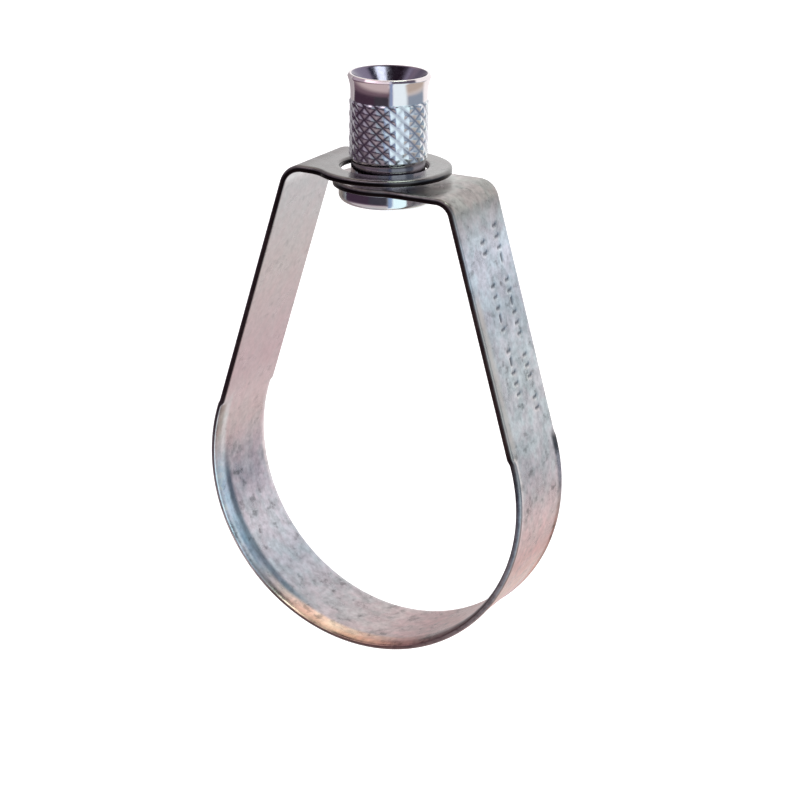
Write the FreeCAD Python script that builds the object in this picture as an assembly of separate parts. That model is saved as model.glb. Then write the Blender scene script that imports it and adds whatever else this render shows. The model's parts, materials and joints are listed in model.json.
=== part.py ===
import FreeCAD, Part
import math
import os

# Swivel ring hanger for two inch pipe, in millimetres.
# A bent steel strip loops round the pipe and closes on itself in two lapped eyes.
# A knurled nut swivels in the eyes: its flange carries the strip from below, its flared rim
# keeps it from dropping out, and the hanger rod screws into it from above.
# The origin is the centre of the ring. X runs across the ring, Y along the pipe, Z up.

# Pipe that the ring carries, and the room round it inside the ring
pipe_diameter = 60.3
pipe_clearance = 3.45

# Strip that the band is bent from
strip_width = 19.05
strip_thickness = 1.27

# Legs and bends of the band
leg_lean = 16.7
upper_bend_radius = 3.8
lower_bend_radius = 2.8

# Edges of the ring, turned outward so that they don't bite into the pipe
lip_radius = 3.6
lip_turn = 29.0
lip_runout = 2.3

# Lapped eyes at the top of the band: the height is that of the lower eye's underside
eye_height = 59.0
eye_gap = 1.15
upper_eye_radius = 13.15
lower_eye_radius = 10.65
eye_fillet = 6.0
upper_eye_offset = 0.9
upper_hole_clearance = 0.5
lower_hole_clearance = 0.15

# Nut below the eyes
flange_radius = 9.5
flange_thickness = 3.1
flange_edge_radius = 1.4
flange_clearance = 0.08

# Nut above its flange
barrel_height = 21.7
neck_height = 5.4
neck_relief = 0.03
collar_height = 4.9
collar_radius = 7.4
flare_height = 3.2
rim_catch = 0.25
rim_height = 0.6
rim_chamfer = 0.4

# Rolled diamond knurl of the barrel
knurl_radius = 7.6
knurl_depth = 0.3
knurl_pitch = 2.4
knurl_starts = 18
knurl_flat = 0.3

# Bore for a 3/8 inch coarse thread: the bore is at the thread's crests
bore_diameter = 7.94
thread_diameter = 9.525
mouth_wall = 0.8

# Sizes that follow from the ones above
half_sheet = strip_thickness / 2
ring_radius = pipe_diameter / 2 + pipe_clearance + half_sheet
lower_eye = eye_height + half_sheet
upper_eye = lower_eye + strip_thickness + eye_gap
lower_hole_radius = knurl_radius + lower_hole_clearance
rim_radius = lower_hole_radius + rim_catch
upper_hole_radius = rim_radius + upper_hole_clearance
flange_top = eye_height - flange_clearance
nut_bottom = flange_top - flange_thickness
nut_top = flange_top + barrel_height
knurl_bottom = flange_top + neck_height
knurl_top = nut_top - collar_height
groove_radius = knurl_radius - knurl_depth
neck_radius = groove_radius * math.cos(math.pi / knurl_starts) - neck_relief
bore_radius = bore_diameter / 2


def across(angle, distance):
    """Point in the plane of the ring, at an angle from +X and a distance from the origin."""
    turn = math.radians(angle)
    return FreeCAD.Vector(distance * math.cos(turn), 0, distance * math.sin(turn))


def chain(points):
    """Closed face through points: a bare point ends a straight edge, a pair is the middle and end of an arc."""
    edges = []
    last = points[0]
    for step in points[1:] + points[:1]:
        if isinstance(step, tuple):
            edges.append(Part.Arc(last, step[0], step[1]).toShape())
            last = step[1]
        else:
            edges.append(Part.makeLine(last, step))
            last = step
    return Part.Face(Part.Wire(edges))


def bend_centre(leg_normal, eye_level, bend_radius):
    """Centre of a top bend, one bend radius inside the mid-planes of both the leg and the eye."""
    leg = across(leg_normal, 1)
    z = eye_level - bend_radius
    x = (ring_radius - bend_radius - z * leg.z) / leg.x
    return FreeCAD.Vector(x, 0, z)


def leg_profile(side, eye_level, inner, reach):
    """Side view of the sheet from the end of an eye, over the top bend and down to the turned edges."""
    leg_normal = 90 - side * (90 - leg_lean)
    middle = (90 + leg_normal) / 2
    outer = inner + strip_thickness
    centre = bend_centre(leg_normal, eye_level, inner + half_sheet)
    runout = across(leg_normal + side * 90, lip_runout)
    return chain([
        FreeCAD.Vector(reach, 0, eye_level + half_sheet),
        centre + across(90, outer),
        (centre + across(middle, outer), centre + across(leg_normal, outer)),
        across(leg_normal, ring_radius + half_sheet) + runout,
        across(leg_normal, ring_radius - half_sheet) + runout,
        centre + across(leg_normal, inner),
        (centre + across(middle, inner), centre + across(90, inner)),
        FreeCAD.Vector(reach, 0, eye_level - half_sheet),
    ])


def eye_plan(side, eye_x, eye_radius):
    """Plan of a round eye and of the strip that runs from it to its leg (-1 left, 1 right)."""
    half = strip_width / 2
    joined = eye_radius + eye_fillet
    fillet_y = half + eye_fillet
    fillet_x = math.sqrt(joined ** 2 - fillet_y ** 2)
    share = eye_radius / joined
    slant = math.atan2(fillet_y, fillet_x)
    hollow = (slant + math.pi / 2) / 2 + math.pi
    hollow_x = fillet_x + eye_fillet * math.cos(hollow)
    hollow_y = fillet_y + eye_fillet * math.sin(hollow)

    def at(x, y):
        return FreeCAD.Vector(eye_x + side * x, y, 0)

    return chain([
        at(2 * ring_radius, -half),
        at(2 * ring_radius, half),
        at(fillet_x, half),
        (at(hollow_x, hollow_y), at(fillet_x * share, fillet_y * share)),
        (at(-eye_radius, 0), at(fillet_x * share, -fillet_y * share)),
        (at(hollow_x, -hollow_y), at(fillet_x, -half)),
    ])


def leg(side, eye_level, bend, eye_x, eye_radius, hole_radius):
    """A leg of the band with its top bend and its eye."""
    reach = eye_x - side * (eye_radius + strip_thickness)
    profile = leg_profile(side, eye_level, bend, reach)
    profile.translate(FreeCAD.Vector(0, -eye_radius, 0))
    bent = profile.extrude(FreeCAD.Vector(0, 2 * eye_radius, 0))
    plan = eye_plan(side, eye_x, eye_radius).extrude(FreeCAD.Vector(0, 0, 2 * upper_eye))
    hole = Part.makeCylinder(hole_radius, 2 * upper_eye, FreeCAD.Vector(eye_x, 0, 0))
    return bent.common(plan).cut(hole)


def lip_section(angle, turned):
    """Cross section of the sheet on the ring, with its edges turned outward or still straight."""
    turn = math.radians(lip_turn)
    developed = turn * lip_radius
    flat = strip_width / 2 - developed

    def at(side, share, offset):
        if turned:
            radius = lip_radius - offset
            y = flat + radius * math.sin(share * turn)
            outward = lip_radius - radius * math.cos(share * turn)
        else:
            y = flat + share * developed
            outward = offset
        point = across(angle, ring_radius + outward)
        point.y = side * y
        return point

    def edge(side, shares, offset):
        points = [at(side, share, offset) for share in shares]
        if turned:
            return Part.Arc(*points).toShape()
        return Part.makeLine(points[0], points[2])

    rising = (0, 0.5, 1)
    falling = (1, 0.5, 0)
    return Part.Wire([
        edge(-1, falling, half_sheet),
        Part.makeLine(at(-1, 0, half_sheet), at(1, 0, half_sheet)),
        edge(1, rising, half_sheet),
        Part.makeLine(at(1, 1, half_sheet), at(1, 1, -half_sheet)),
        edge(1, falling, -half_sheet),
        Part.makeLine(at(1, 0, -half_sheet), at(-1, 0, -half_sheet)),
        edge(-1, rising, -half_sheet),
        Part.makeLine(at(-1, 1, -half_sheet), at(-1, 1, half_sheet)),
    ])


def ring():
    """Round lower part of the band, whose turned edges run out on the feet of the legs."""
    left_foot = 180 - leg_lean
    right_foot = 360 + leg_lean
    turned = Part.Face(lip_section(left_foot, True)).revolve(
        FreeCAD.Vector(0, 0, 0), FreeCAD.Vector(0, -1, 0), right_foot - left_foot)
    left_end = lip_section(left_foot, False)
    left_end.translate(across(left_foot - 90, lip_runout))
    right_end = lip_section(right_foot, False)
    right_end.translate(across(right_foot + 90, lip_runout))
    left_runout = Part.makeLoft([left_end, lip_section(left_foot, True)], True, True)
    right_runout = Part.makeLoft([lip_section(right_foot, True), right_end], True, True)
    return [turned, left_runout, right_runout]


def ring_band():
    """The whole band: one strip, bent to a ring, whose left end laps over its right end."""
    upper = leg(-1, upper_eye, upper_bend_radius, -upper_eye_offset, upper_eye_radius, upper_hole_radius)
    lower = leg(1, lower_eye, lower_bend_radius, 0, lower_eye_radius, lower_hole_radius)
    return upper.multiFuse([lower] + ring()).removeSplitter()


def turned_nut():
    """Turned form of the nut before it is knurled and bored: flange, neck, collar and flared rim."""
    corner = 1 - math.sqrt(0.5)
    flare_end = nut_top - rim_height
    flare_start = flare_end - flare_height
    flare_x = collar_radius + (rim_radius - collar_radius) / 4

    def at(radius, height):
        return FreeCAD.Vector(radius, 0, height)

    outline = chain([
        at(0, nut_bottom),
        at(flange_radius - flange_edge_radius, nut_bottom),
        (at(flange_radius - corner * flange_edge_radius, nut_bottom + corner * flange_edge_radius),
         at(flange_radius, nut_bottom + flange_edge_radius)),
        at(flange_radius, flange_top),
        at(neck_radius, flange_top),
        at(neck_radius, knurl_top),
        at(collar_radius, knurl_top),
        at(collar_radius, flare_start),
        (at(flare_x, (flare_start + flare_end) / 2), at(rim_radius, flare_end)),
        at(rim_radius, nut_top - rim_chamfer),
        at(rim_radius - rim_chamfer, nut_top),
        at(0, nut_top),
    ])
    return outline.revolve(FreeCAD.Vector(0, 0, 0), FreeCAD.Vector(0, 0, 1), 360)


def knurled_barrel():
    """Barrel between neck and collar: crossed grooves that leave rows of flat-topped diamonds."""
    column_angle = 2 * math.pi / knurl_starts
    rows = round(2 * (knurl_top - knurl_bottom) / knurl_pitch)
    row_height = (knurl_top - knurl_bottom) / rows

    def at(column, row, radius):
        turn = column * column_angle
        return FreeCAD.Vector(radius * math.cos(turn), radius * math.sin(turn), knurl_bottom + row * row_height)

    def triangle(a, b, c):
        return Part.Face(Part.makePolygon([a, b, c, a]))

    def loop(column, row, share, radius):
        return [at(column - share / 2, row, radius), at(column, row - share, radius),
                at(column + share / 2, row, radius), at(column, row + share, radius)]

    def diamond(column, row):
        foot = loop(column, row, 1, groove_radius)
        top = loop(column, row, knurl_flat, knurl_radius)
        faces = [triangle(top[0], top[1], top[3]), triangle(top[1], top[2], top[3])]
        for i in range(4):
            j = (i + 1) % 4
            faces.append(triangle(foot[i], foot[j], top[j]))
            faces.append(triangle(foot[i], top[j], top[i]))
        return faces

    def half_diamond(column, row, inward):
        corners = [at(column - inward / 2, row, groove_radius), at(column + inward / 2, row, groove_radius),
                   at(column, row + inward, groove_radius)]
        crown = at(column, row + inward / 3, (groove_radius + knurl_radius) / 2)
        return [triangle(corners[i], corners[(i + 1) % 3], crown) for i in range(3)]

    faces = []
    for row in range(rows + 1):
        for place in range(knurl_starts):
            column = place + (row % 2) / 2
            if row == 0:
                faces += half_diamond(column, row, 1)
            elif row == rows:
                faces += half_diamond(column, row, -1)
            else:
                faces += diamond(column, row)
    for row in (0, rows):
        rim = [at(place + (row % 2) / 2 - 0.5, row, groove_radius) for place in range(knurl_starts)]
        faces.append(Part.Face(Part.makePolygon(rim + rim[:1])))
    return Part.Solid(Part.Shell(faces))


def bore():
    """Bore of the nut, with a wide conical mouth in the rim and a lead-in from below."""
    mouth_radius = rim_radius - mouth_wall
    mouth_depth = mouth_radius - bore_radius
    lead_in = (thread_diameter - bore_diameter) / 2
    hole = Part.makeCylinder(bore_radius, nut_top - nut_bottom, FreeCAD.Vector(0, 0, nut_bottom))
    mouth = Part.makeCone(bore_radius, mouth_radius, mouth_depth, FreeCAD.Vector(0, 0, nut_top - mouth_depth))
    entry = Part.makeCone(bore_radius + lead_in, bore_radius, lead_in, FreeCAD.Vector(0, 0, nut_bottom))
    return hole.multiFuse([mouth, entry])


def swivel_nut():
    """The whole nut: turned, knurled and bored in one piece."""
    return turned_nut().fuse(knurled_barrel()).cut(bore())


os.makedirs("parts", exist_ok=True)
for name, make in (("ring_band", ring_band), ("swivel_nut", swivel_nut)):
    shape = make()
    shape.exportStep("parts/" + name + ".step")
    print(name, "solids", len(shape.Solids), "valid", shape.isValid(), "volume", round(shape.Volume, 1))
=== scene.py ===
import bmesh
import bpy
import json
import math
from mathutils import Matrix, Vector


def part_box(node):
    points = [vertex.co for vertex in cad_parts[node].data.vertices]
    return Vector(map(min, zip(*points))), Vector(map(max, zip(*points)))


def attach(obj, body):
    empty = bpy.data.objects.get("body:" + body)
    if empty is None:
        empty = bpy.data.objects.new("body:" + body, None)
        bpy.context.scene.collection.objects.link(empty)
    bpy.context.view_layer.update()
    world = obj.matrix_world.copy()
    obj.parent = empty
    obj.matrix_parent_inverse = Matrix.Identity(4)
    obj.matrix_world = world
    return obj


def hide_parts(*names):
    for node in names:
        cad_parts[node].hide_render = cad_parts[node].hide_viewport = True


# Swivel ring hanger: a galvanised strip bent to a ring, and a knurled nut that swivels in its eyes.
# Lengths are in millimetres and angles in degrees. Meshes are scaled to metres when they are made.

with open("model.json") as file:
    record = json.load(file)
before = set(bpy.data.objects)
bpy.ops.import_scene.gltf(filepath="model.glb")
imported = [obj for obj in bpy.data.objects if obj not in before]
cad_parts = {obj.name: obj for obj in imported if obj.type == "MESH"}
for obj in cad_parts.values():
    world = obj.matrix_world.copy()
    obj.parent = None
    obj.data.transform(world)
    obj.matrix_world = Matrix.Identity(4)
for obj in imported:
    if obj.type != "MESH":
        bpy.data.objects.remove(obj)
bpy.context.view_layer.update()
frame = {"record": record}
metre = 0.001

mounts = {mount["name"]: mount for mount in frame["record"]["mounts"]}
nut_low, nut_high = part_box("swivel_nut")

# Band: strip, legs and bends
strip_width = 19.05
strip_thickness = 1.27
rolled_corner = 0.42
inner_corner = 0.12
leg_lean = 16.7
upper_bend_radius = 3.8
lower_bend_radius = 2.8

# Band: turned edges of the ring, and where they start and are full, measured up each leg from the ring
lip_radius = 3.6
lip_turn = 29.0
lip_start = 1.9
lip_full = 0.5

# Band: lapped eyes, and the distance from their centres at which the plain strip takes over
eye_height = 59.0
eye_gap = 1.15
upper_eye_radius = 13.15
lower_eye_radius = 10.65
eye_fillet = 6.0
upper_eye_offset = 0.9
upper_hole_radius = 8.5
lower_hole_radius = 7.75
eye_neck = 11.7

# Band: generic stamped strokes on the outside of the right leg, in columns
# Each column has its place beside the middle, its first stroke, its number of strokes and the ones left out.
# Every fourth stroke is turned a quarter.
stroke_columns = [(4.7, 5.0, 18, (4, 11, 15)), (-1.2, 7.0, 15, (2, 3, 9))]
stroke_pitch = 2.15
stroke_length = 1.9
stroke_width = 0.62
stroke_depth = 0.16
stroke_bottom = 0.05
stroke_end = 0.2
stroke_turned = 4
stroke_reach = 0.6

# Band: how finely its mesh is divided
eye_segments = 120
eye_layers = 7
eye_neck_step = 0.6
left_bend_step = 0.35
right_bend_step = 0.3
left_leg_step = 1.2
lip_start_step = 0.2
ring_step = 0.75
flat_step = 0.75
lip_step = 0.3
stroke_step = 0.28

# Nut
flange_radius = 9.5
flange_thickness = 3.1
flange_edge_radius = 1.4
flange_top_radius = 0.25
neck_height = 5.4
neck_radius = 7.16
neck_shoulder = 0.25
collar_height = 4.9
collar_radius = 7.4
flare_height = 3.2
rim_radius = 8.0
rim_height = 0.6
rim_bevel = 0.28
rim_land = 0.06
mouth_wall = 0.8
bore_bevel = 0.18

# Nut: how finely its mesh is divided, with arcs as (start, end, number of steps) and shares of a slope
under_step = 0.8
side_step = 0.4
level_step = 0.6
rim_step = 0.08
mouth_step = 0.06
flange_edge_arc = (-82, 0, 10)
flange_top_arc = (0, 90, 4)
flare_shares = (0.15, 0.3, 0.45, 0.6, 0.75, 0.9)
bevel_shares = (0.08, 0.3, 0.5, 0.7, 0.92, 1.0)

# Nut: rolled knurl, with one set of grooves less deep than the other, and right-hand thread
knurl_radius = 7.6
knurl_depth = 0.2
knurl_pitch = 2.4
knurl_starts = 18
knurl_columns = 12
knurl_rows = 20
knurl_fade = 0.3
groove_share = 0.4
second_groove = 0.75
thread_pitch = 1.5875
thread_diameter = 9.525
thread_flat = 0.15
thread_rows = 12

# Sizes that follow from the ones above and from the frame
half_sheet = strip_thickness / 2
half_width = strip_width / 2
ring_radius = mounts["pipe_seat"]["dims"]["r_mm"] + half_sheet
bore_radius = mounts["rod_thread"]["dims"]["r_mm"]
lower_eye = eye_height + half_sheet
upper_eye = lower_eye + strip_thickness + eye_gap
nut_bottom = nut_low.z / metre
nut_top = nut_high.z / metre
flange_top = nut_bottom + flange_thickness
knurl_bottom = flange_top + neck_height
knurl_top = nut_top - collar_height
thread_root = thread_diameter / 2

# View of the photograph
camera_azimuth = 28.06
camera_elevation = 19.66
camera_roll = 0.97
camera_distance = 466.7
camera_lens = 105.6
camera_sensor = 36
camera_near = 10
sight_right = 3.13
sight_height = 14.77


def smooth_step(low, high, value):
    """0 at low, 1 at high, and a smooth change between them."""
    share = min(max((value - low) / (high - low), 0.0), 1.0)
    return share * share * (3 - 2 * share)


def spread(start, end, step):
    """Evenly spaced values from start to end, about one step apart."""
    count = max(1, math.ceil(abs(end - start) / step - 1e-6))
    return [start + (end - start) * i / count for i in range(count + 1)]


def make_object(name, points, faces, attributes):
    """Smooth mesh object from points in millimetres, with one float attribute for each named list."""
    mesh = bpy.data.meshes.new(name)
    mesh.from_pydata([Vector(p) * metre for p in points], [], faces)
    for title, values in attributes.items():
        layer = mesh.attributes.new(title, "FLOAT", "POINT")
        layer.data.foreach_set("value", values)
    built = bmesh.new()
    built.from_mesh(mesh)
    bmesh.ops.recalc_face_normals(built, faces=built.faces)
    built.to_mesh(mesh)
    built.free()
    mesh.shade_smooth()
    made = bpy.data.objects.new(name, mesh)
    bpy.context.scene.collection.objects.link(made)
    return made


# Path of the strip's mid-plane, seen from the front


def across(angle, distance):
    """Point (x, z) at an angle from +X and a distance from the ring's centre."""
    turn = math.radians(angle)
    return Vector((distance * math.cos(turn), distance * math.sin(turn)))


def bend_centre(leg_normal, eye_level, radius):
    """Centre of a top bend, one bend radius inside the mid-planes of both the leg and the eye."""
    leg = across(leg_normal, 1)
    z = eye_level - radius
    return Vector(((ring_radius - radius - z * leg.y) / leg.x, z))


left_normal = 180 - leg_lean
right_normal = 360 + leg_lean
upper_bend = upper_bend_radius + half_sheet
lower_bend = lower_bend_radius + half_sheet
left_bend_centre = bend_centre(left_normal, upper_eye, upper_bend)
right_bend_centre = bend_centre(right_normal, lower_eye, lower_bend)
left_flat = -upper_eye_offset - left_bend_centre.x
right_flat = right_bend_centre.x
left_leg = (left_bend_centre + across(left_normal, upper_bend) - across(left_normal, ring_radius)).length
right_leg = (right_bend_centre + across(right_normal, lower_bend) - across(right_normal, ring_radius)).length
left_turn = upper_bend * math.radians(left_normal - 90)
right_turn = lower_bend * math.radians(90 - leg_lean)
ring_turn = ring_radius * math.radians(right_normal - left_normal)

# Developed length, from the centre of the upper eye to that of the lower eye
left_bend_start = left_flat
left_leg_start = left_bend_start + left_turn
ring_start = left_leg_start + left_leg
ring_end = ring_start + ring_turn
right_leg_end = ring_end + right_leg
right_bend_end = right_leg_end + right_turn
strip_end = right_bend_end + right_flat


def on_path(along):
    """Point (x, z) of the mid-plane and the angle of its outward normal, at a developed length."""
    if along <= left_bend_start:
        return Vector((-upper_eye_offset - along, upper_eye)), 90.0
    if along <= left_leg_start:
        angle = 90 + math.degrees((along - left_bend_start) / upper_bend)
        return left_bend_centre + across(angle, upper_bend), angle
    if along <= ring_start:
        down = across(left_normal + 90, along - ring_start)
        return across(left_normal, ring_radius) + down, left_normal
    if along <= ring_end:
        angle = left_normal + math.degrees((along - ring_start) / ring_radius)
        return across(angle, ring_radius), angle
    if along <= right_leg_end:
        up = across(right_normal + 90, along - ring_end)
        return across(right_normal, ring_radius) + up, right_normal
    if along <= right_bend_end:
        angle = right_normal + math.degrees((along - right_leg_end) / lower_bend)
        return right_bend_centre + across(angle, lower_bend), angle
    return Vector((right_flat - (along - right_bend_end), lower_eye)), 90.0 + 360.0


lip_length = lip_radius * math.radians(lip_turn)
flat_half = half_width - lip_length


def bent(along, beside, above):
    """Point of the finished band for a place on the flat strip.

    The place is given along the strip, beside its middle and above its mid-plane.
    """
    start = smooth_step(ring_start - lip_start, ring_start - lip_full, along)
    end = smooth_step(ring_end + lip_start, ring_end + lip_full, along)
    curl = math.radians(lip_turn) * min(start, end)
    side = math.copysign(1, beside)
    outside = abs(beside) - flat_half
    y, out = abs(beside), above
    if outside > 0 and curl > 1e-4:
        turn = curl * outside / lip_length
        radius = lip_length / curl
        y = flat_half + (radius - above) * math.sin(turn)
        out = radius - (radius - above) * math.cos(turn)
    middle, angle = on_path(along)
    place = middle + across(angle, out)
    return (place.x, side * y, place.y)


def stamped(along, beside):
    """How deep the strip is stamped at a place on its outside, from 0 to 1."""
    from_top = right_leg_end - along
    deepest = 0.0
    for place, first, number, gaps in stroke_columns:
        aside = abs(beside - place)
        nearest = min(max(round((from_top - first) / stroke_pitch), 0), number - 1)
        if nearest in gaps:
            continue
        away = abs(from_top - first - nearest * stroke_pitch)
        if nearest % stroke_turned == stroke_turned - 1:
            aside, away = away, aside
        inside = smooth_step(stroke_length / 2, stroke_length / 2 - stroke_end, aside)
        deepest = max(deepest, inside * smooth_step(stroke_width, stroke_bottom, away))
    return deepest


def edge_profile():
    """Sheared edge from outside to inside: (distance in from the edge, height, share that is bare)."""
    near = 1 - math.sqrt(0.5)
    outer, inner = rolled_corner, inner_corner
    return [
        (outer, half_sheet, 0.2),
        (outer * near, half_sheet - outer * near, 0.4),
        (0, half_sheet - outer, 0.8),
        (0, 0, 1.0),
        (0, inner - half_sheet, 1.0),
        (inner * near, inner * near - half_sheet, 0.5),
        (inner, -half_sheet, 0.0),
    ]


class Strip:
    """Points of the flat strip, each kept once, and the faces that join them."""

    def __init__(self):
        self.flat = []
        self.faces = []
        self.cut = []
        self.index = {}

    def point(self, along, beside, above, cut=0.0):
        """Number of the point at a place, which is added if it is new."""
        key = (round(along, 4), round(beside, 4), round(above, 4))
        if key not in self.index:
            self.index[key] = len(self.flat)
            self.flat.append((along, beside, above))
            self.cut.append(cut)
        return self.index[key]

    def quads(self, rows, closed=False):
        """Joins rows of points of the same length with quads."""
        for low, high in zip(rows, rows[1:]):
            count = len(low)
            for i in range(count if closed else count - 1):
                j = (i + 1) % count
                face = []
                for corner in (low[i], low[j], high[j], high[i]):
                    if corner not in face:
                        face.append(corner)
                if len(face) > 2:
                    self.faces.append(face)


def across_strip(corner):
    """Places across the strip, closer together in the turned edges and under the stamped strokes."""
    stops = [(-flat_half, lip_step), (flat_half, flat_step), (half_width - corner, lip_step)]
    reach = stroke_length * stroke_reach
    for place, _, _, _ in stroke_columns:
        stops += [(place - reach, flat_step), (place + reach, stroke_step)]
    places = [corner - half_width]
    for stop, step in sorted(stops):
        places += spread(places[-1], stop, step)[1:]
    return places


edge = edge_profile()
outside_places = across_strip(rolled_corner)
inside_places = across_strip(inner_corner)


def eye_outline(radius):
    """Outline of an eye from one corner of its neck round to the other, as (away from its centre, beside)."""
    joined = radius + eye_fillet
    fillet_y = half_width + eye_fillet
    fillet_x = math.sqrt(joined ** 2 - fillet_y ** 2)
    corner = math.atan2(half_width, eye_neck)
    outline = []
    for i in range(eye_segments + 1):
        angle = corner + (2 * math.pi - 2 * corner) * i / eye_segments
        turn = min(angle, 2 * math.pi - angle)
        if turn <= math.atan2(half_width, fillet_x):
            distance = half_width / math.sin(turn)
        elif turn <= math.atan2(fillet_y, fillet_x):
            towards = fillet_x * math.cos(turn) + fillet_y * math.sin(turn)
            distance = towards - math.sqrt(max(towards ** 2 - joined ** 2 + eye_fillet ** 2, 0))
        else:
            distance = radius
        outline.append(Vector((distance * math.cos(angle), distance * math.sin(angle))))
    return outline


def inward(outline, i):
    """Unit normal that points into an eye from a place on its outline."""
    if i in (0, len(outline) - 1):
        return Vector((0, -math.copysign(1, outline[i].y)))
    step = outline[i + 1] - outline[i - 1]
    return Vector((-step.y, step.x)).normalized()


def add_eye(strip, centre, direction, radius, hole_radius):
    """Eye round a centre on the flat strip, with the leg at growing (1) or falling (-1) length."""
    outline = eye_outline(radius)
    normals = [inward(outline, i) for i in range(len(outline))]

    def place(x, y, above, cut=0.0):
        return strip.point(centre + direction * x, y, above, cut)

    # Outer edge
    strip.quads([[place(*(p + n * inset), height, cut) for p, n in zip(outline, normals)]
                 for inset, height, cut in edge])

    # Upper and lower face, from the hole out to the outline and the neck
    neck = [Vector((eye_neck, y)) for y in outside_places[1:-1]]
    rays = [p.normalized() for p in outline + neck]
    faces = ((half_sheet, rolled_corner, outside_places), (-half_sheet, inner_corner, inside_places))
    for height, corner, beside in faces:
        border = [p + n * corner for p, n in zip(outline, normals)]
        border += [Vector((eye_neck, y)) for y in beside[1:-1]]
        strip.quads([[place(*(ray * (hole_radius + corner)).lerp(b, layer / eye_layers), height)
                      for ray, b in zip(rays, border)] for layer in range(eye_layers + 1)], closed=True)

    # Wall of the hole
    strip.quads([[place(*(ray * (hole_radius + inset)), height, cut) for ray in rays]
                 for inset, height, cut in edge], closed=True)


def add_run(strip):
    """The strip between the necks of the two eyes."""
    section = [(beside, half_sheet, 0.0) for beside in outside_places[1:-1]]
    section += [(half_width - inset, height, bare) for inset, height, bare in edge]
    section += [(beside, -half_sheet, 0.0) for beside in reversed(inside_places[1:-1])]
    section += [(inset - half_width, height, bare) for inset, height, bare in reversed(edge)]
    stops = [
        (left_bend_start, eye_neck_step), (left_leg_start, left_bend_step),
        (ring_start - lip_start, left_leg_step), (ring_start, lip_start_step),
        (ring_end, ring_step), (ring_end + lip_start, lip_start_step),
        (right_leg_end, stroke_step), (right_bend_end, right_bend_step),
        (strip_end - eye_neck, eye_neck_step),
    ]
    places = [eye_neck]
    for stop, step in stops:
        places += spread(places[-1], stop, step)[1:]
    strip.quads([[strip.point(along, *spot) for spot in section] for along in places], closed=True)


def make_band():
    """The whole band as one mesh, made flat and then bent."""
    strip = Strip()
    add_run(strip)
    add_eye(strip, 0, 1, upper_eye_radius, upper_hole_radius)
    add_eye(strip, strip_end, -1, lower_eye_radius, lower_hole_radius)
    points = []
    marks = []
    for along, beside, above in strip.flat:
        mark = 0.0
        if above >= half_sheet and ring_end < along < right_leg_end:
            mark = stamped(along, beside)
        marks.append(mark)
        points.append(bent(along, beside, above - stroke_depth * mark))
    return make_object("band_strip", points, strip.faces, {
        "cut_edge": strip.cut,
        "stamped": marks,
        "along": [spot[0] for spot in strip.flat],
        "beside": [spot[1] for spot in strip.flat],
        "outside": [0.5 + spot[2] / strip_thickness for spot in strip.flat],
    })


# Nut


def knurl_height(angle, z):
    """Height of the rolled knurl between its grooves (0) and its flats (1)."""
    column = 2 * angle * knurl_starts / (2 * math.pi)
    row = 2 * (z - knurl_bottom) / knurl_pitch
    height = 1.0
    for crossing, depth in ((column + row, 1.0), (column - row, second_groove)):
        share = (crossing - 1) / 2
        from_groove = abs(share - round(share)) / groove_share
        height = min(height, 1 - depth * (1 - min(from_groove, 1.0)))
    return height


def knurl_strength(z):
    """Share of the knurl's full height at a level: it runs out at both ends of the barrel."""
    return min(smooth_step(knurl_bottom, knurl_bottom + knurl_fade, z),
               smooth_step(knurl_top, knurl_top - knurl_fade, z))


def thread_radius(angle, z):
    """Radius of the right-hand thread in the bore."""
    turn = z / thread_pitch - angle / (2 * math.pi)
    share = abs(2 * (turn - math.floor(turn)) - 1)
    flank = share * (1 + 2 * thread_flat) - thread_flat
    return bore_radius + (thread_root - bore_radius) * min(max(flank, 0.0), 1.0)


def arc(centre, radius, start, end, count):
    """Points (radius, height) on an arc of the nut's profile."""
    return [(centre[0] + radius * math.cos(math.radians(a)), centre[1] + radius * math.sin(math.radians(a)))
            for a in [start + (end - start) * i / count for i in range(count + 1)]]


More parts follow.
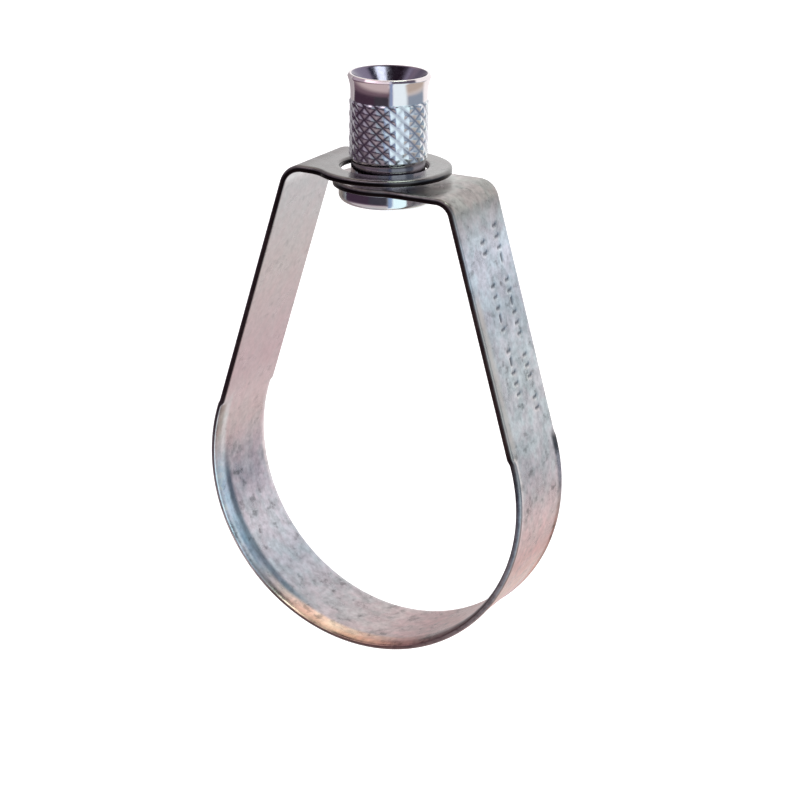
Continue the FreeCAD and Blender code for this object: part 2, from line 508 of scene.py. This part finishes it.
def nut_profile():
    """Half section of the nut as (radius, z, kind), from the bore's lower end round the outside and back.

    Stretches end a little short of where they meet, so a corner becomes a small bevel.
    """
    flare_end = nut_top - rim_height
    flare_start = flare_end - flare_height
    mouth_radius = rim_radius - mouth_wall
    mouth_end = nut_top - (mouth_radius - bore_radius)
    thread_end = nut_bottom + thread_root - bore_radius
    edge_centre = (flange_radius - flange_edge_radius, nut_bottom + flange_edge_radius)
    top_centre = (flange_radius - flange_top_radius, flange_top - flange_top_radius)
    bevel_start = flare_end + rim_land
    bevel_end = nut_top - rim_land

    # Flange and neck
    plain = [(thread_root + bore_bevel, nut_bottom)]
    plain += [(r, nut_bottom) for r in spread(thread_root + 0.6, edge_centre[0], under_step)]
    plain += arc(edge_centre, flange_edge_radius, *flange_edge_arc)
    plain += [(flange_radius, z) for z in spread(edge_centre[1] + 0.2, flange_top - 0.3, side_step)]
    plain += arc(top_centre, flange_top_radius, *flange_top_arc)
    plain += [(r, flange_top) for r in spread(flange_radius - 0.5, neck_radius + 0.3, level_step)]
    plain += [(neck_radius, z)
              for z in spread(flange_top + neck_shoulder, knurl_bottom - neck_shoulder, level_step)]
    rows = [(*spot, "plain") for spot in plain]

    rows += [(knurl_radius, z, "knurl") for z in spread(knurl_bottom, knurl_top, knurl_pitch / knurl_rows)]

    # Collar, flare and rim
    plain = [(collar_radius, z) for z in spread(knurl_top + 0.2, flare_start, side_step)]
    plain += [(collar_radius + (rim_radius - collar_radius) * share ** 2, flare_start + flare_height * share)
              for share in flare_shares]
    plain += [(rim_radius, z) for z in (flare_end, bevel_start)]
    plain += [(rim_radius - rim_bevel * share, bevel_start + (bevel_end - bevel_start) * share)
              for share in bevel_shares]
    plain += [(r, nut_top) for r in spread(rim_radius - rim_bevel - 0.12, mouth_radius + 0.1, rim_step)]
    rows += [(*spot, "plain") for spot in plain]

    # Mouth and bore
    rows += [(mouth_radius + 0.02, nut_top - 0.04, "mouth")]
    rows += [(mouth_radius + (bore_radius - mouth_radius) * share,
              nut_top + (mouth_end - nut_top) * share, "mouth") for share in spread(0.05, 1.0, mouth_step)]
    rows += [(bore_radius, z, "thread")
             for z in spread(mouth_end - 0.1, thread_end, thread_pitch / thread_rows)]
    rows += [(thread_root, nut_bottom + bore_bevel, "plain")]
    return rows


def make_nut():
    """The nut as one mesh: a turned profile, with the knurl and the thread worked into it."""
    columns = knurl_starts * knurl_columns
    points = []
    marks = {"groove": [], "inside": [], "smooth": [], "collar": [], "neck": []}
    depths = {"mouth": 0.5, "thread": 1.0}
    profile = nut_profile()
    for radius, z, kind in profile:
        for i in range(columns):
            angle = 2 * math.pi * i / columns
            groove = 0.0
            r = radius
            if kind == "knurl":
                height = knurl_height(angle, z)
                r = knurl_radius - knurl_depth * (1 - height * knurl_strength(z))
                groove = 1 - height
            elif kind == "thread":
                r = thread_radius(angle, z)
                groove = (r - bore_radius) / (thread_root - bore_radius)
            points.append((r * math.cos(angle), r * math.sin(angle), z))
            marks["groove"].append(groove)
        smooth = kind == "plain"
        marks["inside"] += [depths.get(kind, 0.0)] * columns
        marks["smooth"] += [float(smooth)] * columns
        marks["collar"] += [float(smooth and z > knurl_top)] * columns
        marks["neck"] += [float(smooth and flange_top < z < knurl_bottom)] * columns
    faces = []
    count = len(profile)
    for row in range(count):
        below = row * columns
        over = ((row + 1) % count) * columns
        for i in range(columns):
            j = (i + 1) % columns
            faces.append((below + i, below + j, over + j, over + i))
    return make_object("knurled_nut", points, faces, marks)


# Materials


class Graph:
    """Short ways to build a node tree."""

    def __init__(self, tree):
        self.tree = tree
        self.tree.nodes.clear()

    def add(self, kind, **settings):
        node = self.tree.nodes.new(kind)
        for title, value in settings.items():
            setattr(node, title, value)
        return node

    def feed(self, value, socket):
        """Links a socket to another, or sets it to a number or a colour."""
        if isinstance(value, bpy.types.NodeSocket):
            self.tree.links.new(value, socket)
        elif isinstance(value, tuple) and socket.type == "RGBA":
            socket.default_value = (*value, 1)
        else:
            socket.default_value = value

    def math(self, operation, first, second=0.0):
        node = self.add("ShaderNodeMath", operation=operation)
        self.feed(first, node.inputs[0])
        self.feed(second, node.inputs[1])
        return node.outputs["Value"]

    def product(self, first, *others):
        """Product of sockets and numbers."""
        for other in others:
            first = self.math("MULTIPLY", first, other)
        return first

    def rise(self, value, low, high, to_low=0.0, to_high=1.0):
        """Smooth step of a value between two limits."""
        node = self.add("ShaderNodeMapRange", interpolation_type="SMOOTHSTEP")
        self.feed(value, node.inputs["Value"])
        for title, number in (("From Min", low), ("From Max", high), ("To Min", to_low), ("To Max", to_high)):
            node.inputs[title].default_value = number
        return node.outputs["Result"]

    def within(self, value, low, high, soft):
        """1 between two limits, with soft ends."""
        return self.product(self.rise(value, low - soft, low + soft),
                            self.rise(value, high - soft, high + soft, 1.0, 0.0))

    def ramp(self, value, low, high, stops):
        """Colour along a value, from stops of (value, colour)."""
        share = self.add("ShaderNodeMapRange")
        self.feed(value, share.inputs["Value"])
        share.inputs["From Min"].default_value = low
        share.inputs["From Max"].default_value = high
        node = self.add("ShaderNodeValToRGB")
        elements = node.color_ramp.elements
        while len(elements) < len(stops):
            elements.new(1.0)
        for element, (place, colour) in zip(elements, stops):
            element.position = (place - low) / (high - low)
            element.color = (*colour, 1)
        self.feed(share.outputs["Result"], node.inputs["Fac"])
        return node.outputs["Color"]

    def mix(self, share, first, second, blend="MIX"):
        node = self.add("ShaderNodeMix", data_type="RGBA", blend_type=blend)
        colours = [s for s in node.inputs if s.type == "RGBA"]
        self.feed(share, node.inputs[0])
        self.feed(first, colours[0])
        self.feed(second, colours[1])
        return [s for s in node.outputs if s.type == "RGBA"][0]

    def seen(self, *rays):
        """1 for the named kinds of ray, 0 for the rest."""
        path = self.add("ShaderNodeLightPath")
        total = path.outputs[rays[0]]
        for ray in rays[1:]:
            total = self.math("MAXIMUM", total, path.outputs[ray])
        return total


class Finish(Graph):
    """A material with one Principled shader."""

    def __init__(self, name):
        self.material = bpy.data.materials.new(name)
        self.material.use_nodes = True
        super().__init__(self.material.node_tree)
        self.shader = self.add("ShaderNodeBsdfPrincipled")
        output = self.add("ShaderNodeOutputMaterial")
        self.tree.links.new(self.shader.outputs["BSDF"], output.inputs["Surface"])
        self.place = self.add("ShaderNodeTexCoord").outputs["Object"]

    def set(self, **values):
        for title, value in values.items():
            self.feed(value, self.shader.inputs[title.replace("_", " ")])

    def scaled(self, size, stretch=(1, 1, 1)):
        """Object coordinates in units of a size in millimetres."""
        mapping = self.add("ShaderNodeMapping")
        mapping.inputs["Scale"].default_value = [s / (size * metre) for s in stretch]
        self.feed(self.place, mapping.inputs["Vector"])
        return mapping.outputs["Vector"]

    def noise(self, size, detail=3.0, roughness=0.55, stretch=(1, 1, 1)):
        node = self.add("ShaderNodeTexNoise")
        node.inputs["Scale"].default_value = 1.0
        node.inputs["Detail"].default_value = detail
        node.inputs["Roughness"].default_value = roughness
        self.feed(self.scaled(size, stretch), node.inputs["Vector"])
        return node.outputs["Fac"]

    def attribute(self, name):
        return self.add("ShaderNodeAttribute", attribute_name=name).outputs["Fac"]

    def bump(self, height, distance, strength=1.0, after=None):
        node = self.add("ShaderNodeBump")
        node.inputs["Distance"].default_value = distance * metre
        node.inputs["Strength"].default_value = strength
        self.feed(height, node.inputs["Height"])
        if after is not None:
            self.feed(after, node.inputs["Normal"])
        return node.outputs["Normal"]


# Tones along the strip's developed length, from the upper eye round the ring to the lower eye
# They are set and adjusted against the photograph. They hold the tints of the zinc, and in places,
# mostly on the near lip, also light and dark that the metal reflects there.
# Painted light in these lists, besides the zinc's tints: reflections on the near lip most of all; on the cut
# edges, highlights at 76 to 103 mm, and round the eyes bare steel darkened further by painted shade; and the
# underside of the upper eye and the top of the lower eye, painted lighter against the shade in the gap
# between them.
strip_range = (-15.0, 280.0)
inside_colours = [
    (-15, (0.80, 0.76, 0.76)), (13, (0.80, 0.76, 0.76)), (20, (0.52, 0.50, 0.51)),
    (38, (0.53, 0.455, 0.45)), (60, (0.51, 0.37, 0.39)), (73, (0.58, 0.46, 0.46)),
    (84, (0.68, 0.56, 0.56)), (95, (0.57, 0.54, 0.57)), (108, (0.40, 0.42, 0.46)),
    (130, (0.46, 0.40, 0.40)), (143, (0.51, 0.37, 0.36)), (156, (0.50, 0.33, 0.30)),
    (175, (0.45, 0.42, 0.44)), (245, (0.44, 0.44, 0.46)),
]
outside_colours = [
    (-15, (0.28, 0.275, 0.27)), (4, (0.22, 0.205, 0.20)), (18, (0.21, 0.19, 0.19)),
    (40, (0.48, 0.47, 0.49)), (150, (0.52, 0.37, 0.37)), (158, (0.54, 0.30, 0.31)),
    (168, (0.53, 0.30, 0.24)), (177, (0.49, 0.28, 0.26)), (185, (0.62, 0.48, 0.47)),
    (199, (0.62, 0.61, 0.60)), (212, (0.69, 0.69, 0.68)), (226, (0.52, 0.54, 0.57)),
    (238, (0.69, 0.72, 0.77)), (247, (0.33, 0.31, 0.29)), (253, (0.38, 0.36, 0.34)),
    (259, (0.62, 0.60, 0.58)),
]
near_lip_tints_and_reflections = [
    (70, (0.60, 0.57, 0.57)), (80, (0.82, 0.78, 0.77)), (86, (0.90, 0.95, 1.00)),
    (92, (0.54, 0.67, 0.76)), (99, (0.23, 0.33, 0.42)), (105, (0.23, 0.28, 0.34)),
    (111, (0.46, 0.43, 0.42)), (119, (0.80, 0.55, 0.44)), (126, (0.84, 0.64, 0.48)),
    (133, (0.70, 0.46, 0.35)), (142, (0.46, 0.28, 0.25)), (152, (0.24, 0.16, 0.15)),
    (162, (0.11, 0.07, 0.065)), (176, (0.14, 0.13, 0.14)), (198, (0.45, 0.44, 0.46)),
]
edge_colours = [
    (-15, (0.018, 0.014, 0.015)), (18, (0.025, 0.019, 0.019)), (30, (0.11, 0.080, 0.076)),
    (66, (0.10, 0.075, 0.075)), (76, (0.50, 0.50, 0.48)), (103, (0.90, 0.90, 0.90)),
    (112, (0.16, 0.12, 0.10)), (142, (0.20, 0.12, 0.12)), (165, (0.30, 0.27, 0.28)),
    (188, (0.38, 0.40, 0.43)), (198, (0.12, 0.09, 0.08)), (243, (0.13, 0.10, 0.09)),
    (252, (0.025, 0.019, 0.019)), (280, (0.018, 0.014, 0.015)),
]
bare_spots = (0.02, 0.015, 0.015)

# Light and dark painted on the strip, adjusted against the photograph like the tones above
# Each has its limits beside the middle and along the strip, how soft its ends along it are, share and colour.
near_lip_beside, near_lip_along = (-5.6, -7.0), (65, 71)
lit_rim = ((-8.0, -8.9), (82, 106), 5, 0.85, (0.86, 0.95, 1.0))
# Painted shade in a band beside the near lip
lip_shade_band = ((-6.9, -5.0), (82, 117), 5, 0.92, (0.12, 0.16, 0.20))
lip_shade_band_soft = 0.7
# Painted highlight along the front edge of the right leg
leg_edge_highlight = ((-6.4, -8.4), (199, 230), 3, 0.7, (0.62, 0.55, 0.49))
# Painted shade in the far crease of the right leg
far_crease_shade = ((6.9, 8.1), (195.0, 199.0), 1.2, 0.85, (0.03, 0.03, 0.035))
# Painted shade in the stamped strokes
stamped_shade_colour = (0.07, 0.075, 0.10)


def galvanised_strip():
    """Mill-galvanised strip: dull mottled zinc, tinted passivation and dark sheared edges, with painted
    reflections, highlights and shade.
    """
    n = Finish("galvanised_strip")
    along, beside, outside = n.attribute("along"), n.attribute("beside"), n.attribute("outside")
    inner_face = n.rise(outside, 0.3, 0.1)
    outer_face = n.rise(outside, 0.6, 0.8)
    mottle = n.noise(4.6, detail=4.0, roughness=0.62)
    speckle = n.noise(1.25, detail=3.0, roughness=0.65)
    streak = n.noise(1.7, detail=2.0, roughness=0.5, stretch=(1, 0.6, 1))

    # Tones of the two faces and of the near lip, partly painted reflections, with a painted highlight on its
    # rim and a painted shade band beside it
    zinc = n.mix(outside, n.ramp(along, *strip_range, inside_colours),
                 n.ramp(along, *strip_range, outside_colours))
    near_lip = n.product(inner_face, n.rise(along, *near_lip_along), n.rise(beside, *near_lip_beside))
    zinc = n.mix(near_lip, zinc, n.ramp(along, *strip_range, near_lip_tints_and_reflections))
    side, run, soft, share, colour = lit_rim
    lit = n.product(n.rise(beside, *side), n.within(along, *run, soft), inner_face, share)
    zinc = n.mix(lit, zinc, colour)
    # Painted shade in a band beside the near lip
    side, run, soft, share, colour = lip_shade_band
    groove = n.product(n.within(beside, *side, lip_shade_band_soft), n.within(along, *run, soft),
                       inner_face, share)
    zinc = n.mix(groove, zinc, colour)

    # Mottling, flecks and blue or pink patches, fainter on the left leg
    worn = n.rise(along, 62, 92, 0.45, 1.0)
    tone = n.math("ADD", n.rise(mottle, 0.3, 0.7, 0.80, 1.16), n.rise(speckle, 0.25, 0.75, -0.18, 0.18))
    fleck = n.product(n.rise(streak, 0.44, 0.33), n.rise(mottle, 0.56, 0.44), 0.30)
    tone = n.math("SUBTRACT", tone, fleck)
    tone = n.math("ADD", 1.0, n.product(n.math("SUBTRACT", tone, 1.0), worn))
    grey = n.add("ShaderNodeCombineColor")
    for channel in ("Red", "Green", "Blue"):
        n.feed(tone, grey.inputs[channel])
    zinc = n.mix(1.0, zinc, grey.outputs["Color"], "MULTIPLY")
    patch = n.mix(n.rise(n.noise(3.4, detail=2.0), 0.36, 0.64), (0.965, 1.015, 1.03), (1.03, 0.98, 1.01))
    zinc = n.mix(worn, zinc, n.mix(1.0, zinc, patch, "MULTIPLY"))

    # Painted highlight on the right leg's front edge, painted shade in its far crease and in the stamped
    # strokes,
    # and sheared edges: bare steel, with painted light and shade along them
    for side, run, soft, share, colour in (leg_edge_highlight, far_crease_shade):
        mark = n.product(n.rise(beside, *side), n.within(along, *run, soft), outer_face, share)
        zinc = n.mix(mark, zinc, colour)
    # Painted shade in the stamped strokes
    zinc = n.mix(n.product(n.attribute("stamped"), 0.8), zinc, stamped_shade_colour)
    bare = n.mix(n.rise(speckle, 0.35, 0.7, 0.0, 0.45), n.ramp(along, *strip_range, edge_colours), bare_spots)

    # The upper eye is a little smoother than the rest
    rough = n.math("SUBTRACT", n.rise(mottle, 0.3, 0.7, 0.26, 0.38), n.rise(along, 14, 10, 0.0, 0.12))
    n.set(Base_Color=n.mix(n.attribute("cut_edge"), zinc, bare), Metallic=1.0, Roughness=rough)
    n.set(Normal=n.bump(speckle, 0.014, 0.6, after=n.bump(mottle, 0.05, 0.5)))
    return n.material


plate_colours = ((0.74, 0.74, 0.80), (0.78, 0.82, 0.82))
# Painted shade: darker in the knurl's grooves, on the neck, in the mouth and in the thread of the bore
knurl_groove_shade = (0.25, 0.21, 0.27)
collar_colour = (0.78, 0.71, 0.72)
neck_shade_colour = (0.42, 0.39, 0.44)
mouth_shade_colour = (0.17, 0.145, 0.215)
thread_shade_colour = (0.15, 0.14, 0.15)


def zinc_plated_nut():
    """Bright zinc plate with the faint violet and blue of its clear passivation, with painted shade in the
    knurl's grooves, on the neck, in the mouth and in the thread.
    """
    n = Finish("zinc_plated_nut")
    fine = n.noise(0.8, detail=2.0)
    plate = n.mix(n.rise(n.noise(5.0, detail=2.0), 0.35, 0.65), *plate_colours)
    # Painted shade in the knurl's grooves
    plate = n.mix(n.rise(n.attribute("groove"), 0.1, 1.0, 0.0, 0.6), plate, knurl_groove_shade)
    plate = n.mix(n.attribute("collar"), plate, collar_colour)
    # Painted shade on the neck, under the upper eye
    plate = n.mix(n.attribute("neck"), plate, neck_shade_colour)
    inside = n.attribute("inside")
    # Painted shade in the mouth and in the thread of the bore
    plate = n.mix(n.rise(inside, 0.1, 0.5), plate, mouth_shade_colour)
    plate = n.mix(n.rise(inside, 0.5, 1.0), plate, thread_shade_colour)
    smoother = n.rise(n.attribute("smooth"), 0.2, 0.8, 0.0, 0.08)
    rough = n.math("SUBTRACT", n.rise(fine, 0.3, 0.7, 0.14, 0.22), smoother)
    n.set(Base_Color=plate, Metallic=1.0, Roughness=rough)
    n.set(Normal=n.bump(fine, 0.006, 0.4))
    return n.material


# Object

band = make_band()
band.data.materials.append(galvanised_strip())
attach(band, "band")
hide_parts("ring_band")

nut = make_nut()
nut.data.materials.append(zinc_plated_nut())
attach(nut, "nut")
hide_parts("swivel_nut")


# Camera


def directions(azimuth, elevation):
    """Unit vectors to the right, up and back towards a viewer at an azimuth and elevation."""
    a, e = math.radians(azimuth), math.radians(elevation)
    back = Vector((math.sin(a) * math.cos(e), -math.cos(a) * math.cos(e), math.sin(e)))
    right = Vector((math.cos(a), math.sin(a), 0))
    return right, back.cross(right), back


def make_camera():
    """Camera at the photograph's viewpoint."""
    right, up, back = directions(camera_azimuth, camera_elevation)
    roll = math.radians(camera_roll)
    target = right * sight_right + Vector((0, 0, sight_height))
    x_axis = right * math.cos(roll) + up * math.sin(roll)
    y_axis = up * math.cos(roll) - right * math.sin(roll)
    data = bpy.data.cameras.new("camera")
    data.sensor_width = camera_sensor
    data.lens = camera_lens
    data.clip_start = camera_near * metre
    camera = bpy.data.objects.new("camera", data)
    turn = Matrix((x_axis, y_axis, back)).transposed().to_4x4()
    camera.matrix_world = Matrix.Translation((target + back * camera_distance) * metre) @ turn
    bpy.context.scene.collection.objects.link(camera)
    bpy.context.scene.camera = camera


# Studio: white all round, with soft flags and boxes that stand still round the hanger
# They are placed so that the metal, seen from the photograph's viewpoint, reflects much the same as there.
# Each has its degrees round from the photograph's viewpoint, its degrees up, its softness and its colour.
# A later one covers an earlier one.
flags = {
    "key side": ((12, 58), (-70, 60), 4, (0.86, 1.02, 1.07)),
    "blue edge": ((0, 12), (-70, 50), 3, (0.26, 0.34, 0.52)),
    "front left": ((-128, 0), (-42, 46), 4, (0.052, 0.030, 0.050)),
    "grey front": ((-44, 0), (-42, 46), 6, (0.048, 0.044, 0.058)),
    "back left": ((-172, -128), (-42, 46), 8, (0.42, 0.39, 0.41)),
    "lilac wall": ((-124, -30), (2, 46), 5, (0.42, 0.36, 0.43)),
    "grey wall": ((-30, 0), (2, 46), 5, (0.42, 0.46, 0.53)),
    "low wall": ((-128, 0), (-34, -21), 4, (0.16, 0.11, 0.14)),
    "pink strip": ((-80, 8), (28, 46), 4, (1.50, 1.25, 1.40)),
    "rim shade": ((9, 88), (32, 52), 4, (0.12, 0.11, 0.15)),
    "low left": ((-176, 0), (-64, -32), 6, (0.54, 0.46, 0.47)),
    "ground left": ((-176, 0), (-110, -62), 6, (0.52, 0.49, 0.49)),
    "right": ((56, 122), (-24, 4), 7, (0.27, 0.34, 0.42)),
    "right wall": ((56, 86), (4, 30), 6, (0.30, 0.38, 0.46)),
    "low right": ((56, 125), (-110, -24), 8, (0.50, 0.44, 0.38)),
    "ceiling": ((-200, 200), (56, 110), 6, (0.05, 0.03, 0.04)),
    "dark corner": ((88, 110), (44, 62), 5, (0.05, 0.06, 0.10)),
    "back box": ((-190, -118), (38, 80), 8, (1.00, 0.88, 0.80)),
    "top box": ((122, 200), (48, 80), 8, (1.00, 0.92, 0.86)),
}
white = (1.0, 1.0, 1.0)
studio_white = 1.15
backdrop_white = 1.0


def make_world():
    """White backdrop for the camera, the flagged studio for everything else."""
    world = bpy.data.worlds.new("studio")
    world.use_nodes = True
    g = Graph(world.node_tree)
    axes = g.add("ShaderNodeSeparateXYZ")
    g.feed(g.add("ShaderNodeTexCoord").outputs["Generated"], axes.inputs["Vector"])
    x, y, z = (axes.outputs[name] for name in "XYZ")
    a = math.radians(camera_azimuth)
    ahead = g.math("SUBTRACT", g.product(x, math.sin(a)), g.product(y, math.cos(a)))
    aside = g.math("ADD", g.product(x, math.cos(a)), g.product(y, math.sin(a)))
    around = g.product(g.math("ARCTAN2", aside, ahead), 180 / math.pi)
    up = g.product(g.math("ARCSINE", z), 180 / math.pi)
    colour = white
    for azimuths, elevations, soft, shade in flags.values():
        share = g.product(g.within(around, *azimuths, soft), g.within(up, *elevations, soft))
        colour = g.mix(share, colour, shade)
    direct = g.seen("Is Camera Ray", "Is Transmission Ray")
    background = g.add("ShaderNodeBackground")
    g.feed(g.mix(direct, colour, white), background.inputs["Color"])
    g.feed(g.rise(direct, 0, 1, studio_white, backdrop_white), background.inputs["Strength"])
    output = g.add("ShaderNodeOutputWorld")
    g.feed(background.outputs["Background"], output.inputs["Surface"])
    bpy.context.scene.world = world


floor_level = -180.0
floor_half = 4000.0
floor_colour = (0.86, 0.86, 0.86)
floor_glow = 0.72


def make_floor():
    """White floor well below the hanger, which hangs free."""
    corners = [(-floor_half, -floor_half, floor_level), (floor_half, -floor_half, floor_level),
               (floor_half, floor_half, floor_level), (-floor_half, floor_half, floor_level)]
    floor = make_object("floor", corners, [(0, 1, 2, 3)], {})
    n = Finish("floor")
    n.set(Base_Color=floor_colour, Roughness=0.9, Specular_IOR_Level=0.0, Emission_Color=white)
    n.set(Emission_Strength=n.product(n.seen("Is Camera Ray"), floor_glow))
    floor.data.materials.append(n.material)
    floor.visible_glossy = False
    floor.visible_diffuse = False
    floor.visible_shadow = False


# Soft box over the right shoulder, which lights the mouth of the nut
lamp_around = 54
lamp_elevation = 71
lamp_distance = 700
lamp_width = 350
lamp_height = 190
lamp_power = 1.4
lamp_colour = (0.80, 1.0, 0.84)


def make_lamp():
    """Soft box that faces the hanger."""
    back = directions(camera_azimuth + lamp_around, lamp_elevation)[2]
    data = bpy.data.lights.new("overhead", "AREA")
    data.shape = "RECTANGLE"
    data.size = lamp_width * metre
    data.size_y = lamp_height * metre
    data.energy = lamp_power
    data.color = lamp_colour
    lamp = bpy.data.objects.new("overhead", data)
    lamp.rotation_mode = "QUATERNION"
    lamp.rotation_quaternion = back.to_track_quat("Z", "Y")
    lamp.location = (Vector((0, 0, sight_height)) + back * lamp_distance) * metre
    lamp.visible_camera = False
    bpy.context.scene.collection.objects.link(lamp)


make_camera()
make_world()
make_floor()
make_lamp()

bpy.context.scene.view_settings.view_transform = "Standard"
